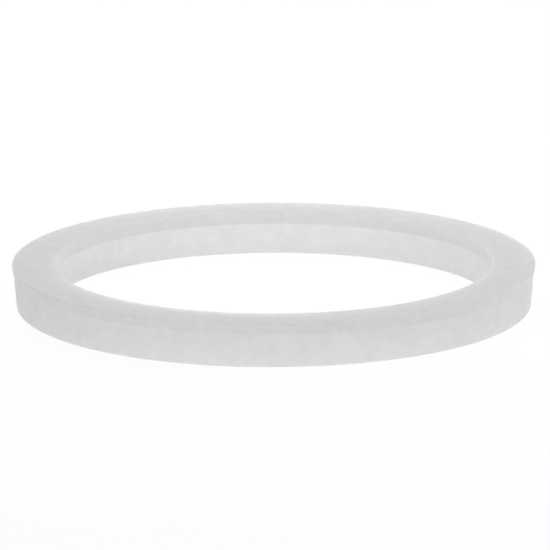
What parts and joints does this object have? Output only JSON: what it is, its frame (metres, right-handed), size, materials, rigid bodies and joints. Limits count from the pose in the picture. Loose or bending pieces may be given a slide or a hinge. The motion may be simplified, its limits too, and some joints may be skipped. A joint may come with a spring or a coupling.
{
  "type": "cap gasket",
  "caption": "Flat ring of translucent silicone with a nearly square section, which seals a cap against the mouth of a tube or vessel.",
  "frame": {"origin": "centre of the flat bottom face", "axes": "+Z along the ring's axis, from the bottom face to the top face, which has the slightly proud edges"},
  "size_m": [0.0762, 0.0762, 0.0065],
  "materials": {
    "silicone": "satin, translucent milky white"
  },
  "bodies": {
    "root": {"gasket": "silicone"}
  },
  "joints": []
}
